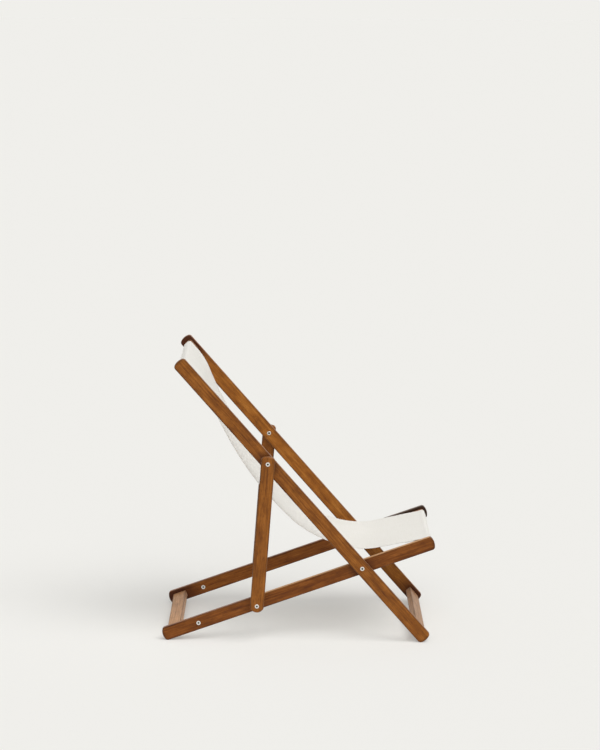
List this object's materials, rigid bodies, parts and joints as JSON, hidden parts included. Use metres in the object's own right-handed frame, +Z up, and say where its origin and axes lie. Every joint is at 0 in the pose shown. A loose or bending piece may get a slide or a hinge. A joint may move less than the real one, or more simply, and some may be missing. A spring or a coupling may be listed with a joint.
{
  "type": "folding deck chair",
  "caption": "Folding deck chair: crossed wooden frames, a pair of side props that set the recline, and a slung canvas seat and back.",
  "frame": {"origin": "on the floor, below the middle of the chair's bounding box", "axes": "+X is the way the sitter faces, +Y is the sitter's left, +Z is up"},
  "size_m": [0.8946, 0.5932, 0.9392],
  "materials": {
    "oiled_acacia": "oiled, satin",
    "canvas": "plain woven, matt",
    "plated_steel": "zinc plated"
  },
  "bodies": {
    "back_frame": {"back_rail_left": "oiled_acacia", "back_rail_right": "oiled_acacia", "top_bar": "oiled_acacia", "front_foot_bar": "oiled_acacia", "sling": "canvas", "frame_pivot_bolt_left": "plated_steel", "frame_pivot_bolt_right": "plated_steel", "frame_pivot_nut_left": "plated_steel", "frame_pivot_nut_right": "plated_steel", "prop_pivot_bolt_left": "plated_steel", "prop_pivot_bolt_right": "plated_steel", "prop_pivot_nut_left": "plated_steel", "prop_pivot_nut_right": "plated_steel"},
    "seat_frame": {"seat_rail_left": "oiled_acacia", "seat_rail_right": "oiled_acacia", "seat_front_bar": "oiled_acacia", "rear_foot_bar": "oiled_acacia", "frame_pivot_washer_left": "plated_steel", "frame_pivot_washer_right": "plated_steel", "foot_sleeve_left": "plated_steel", "foot_sleeve_right": "plated_steel", "recline_sleeve_left": "plated_steel", "recline_sleeve_right": "plated_steel"},
    "left_prop": {"prop_left": "oiled_acacia", "prop_pivot_washer_left": "plated_steel", "foot_bolt_left": "plated_steel", "foot_spacer_left": "plated_steel"},
    "right_prop": {"prop_right": "oiled_acacia", "prop_pivot_washer_right": "plated_steel", "foot_bolt_right": "plated_steel", "foot_spacer_right": "plated_steel"}
  },
  "joints": [
    {"name": "frame_fold", "type": "hinge", "parent": "back_frame", "child": "seat_frame", "pos_m": [0.20886, 0, 0.24781], "axis": [0, 1, 0], "range_deg": [0, 60], "deforming": ["sling"]},
    {"name": "left_prop_swing", "type": "hinge", "parent": "back_frame", "child": "left_prop", "pos_m": [-0.10049, 0.285, 0.59899], "axis": [0, -1, 0], "range_deg": [0, 40.5]},
    {"name": "right_prop_swing", "type": "hinge", "parent": "back_frame", "child": "right_prop", "pos_m": [-0.10049, -0.285, 0.59899], "axis": [0, -1, 0], "range_deg": [0, 40.5]}
  ],
  "couplings": [
    {"joint": "left_prop_swing", "follows": "frame_fold", "ratio": 0.675},
    {"joint": "right_prop_swing", "follows": "frame_fold", "ratio": 0.675}
  ]
}
